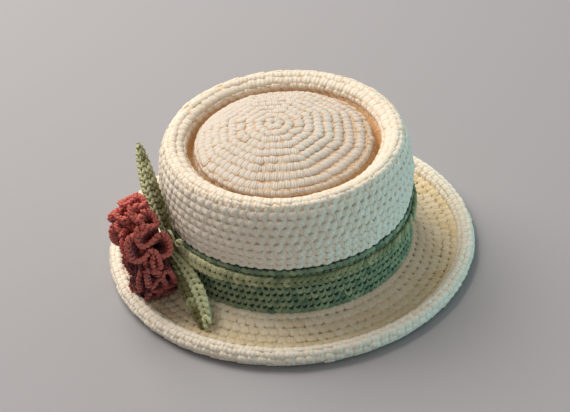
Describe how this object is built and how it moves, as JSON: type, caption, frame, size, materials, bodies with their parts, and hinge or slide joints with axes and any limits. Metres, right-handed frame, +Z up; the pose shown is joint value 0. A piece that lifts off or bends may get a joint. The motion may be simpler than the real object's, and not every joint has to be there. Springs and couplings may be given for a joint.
{
  "type": "crocheted hat",
  "caption": "Low crocheted hat with an upturned rolled brim, a sunken domed crown, and a slip-over band carrying a ruffled flower and folded leaves.",
  "frame": {"origin": "on the axis of the head opening, in the plane that the brim rests on", "axes": "+Z up out of the crown; the flower is at 205 degrees round from +X towards +Y, so -Y is the side the hat is seen from"},
  "size_m": [0.305, 0.305, 0.126],
  "materials": {
    "cream_cotton": "worsted cotton in single crochet, matt",
    "wire_steel": "round millinery wire",
    "joiner_metal": "crimped sleeve",
    "green_cotton": "variegated green cotton in single crochet",
    "pale_green_cotton": "pale green cotton chain",
    "leaf_cotton": "variegated pale green cotton",
    "rose_cotton": "dusty rose cotton"
  },
  "bodies": {
    "hat": {"crown_tip": "cream_cotton", "crown_rim": "cream_cotton", "crown_side": "cream_cotton", "brim": "cream_cotton", "brim_roll": "cream_cotton", "brim_wire": "wire_steel", "brim_wire_joiner": "joiner_metal"},
    "band": {"hat_band": "green_cotton", "band_edge_chain": "pale_green_cotton", "band_tie": "pale_green_cotton", "upper_leaf": "leaf_cotton", "lower_leaf": "leaf_cotton", "flower_back": "rose_cotton", "outer_frill": "rose_cotton", "middle_frill": "rose_cotton", "inner_frill": "rose_cotton", "flower_centre": "rose_cotton"}
  },
  "joints": [
    {"name": "band_turn", "type": "hinge", "parent": "hat", "child": "band", "pos_m": [0, 0, 0.037], "axis": [0, 0, 1], "continuous": true}
  ]
}
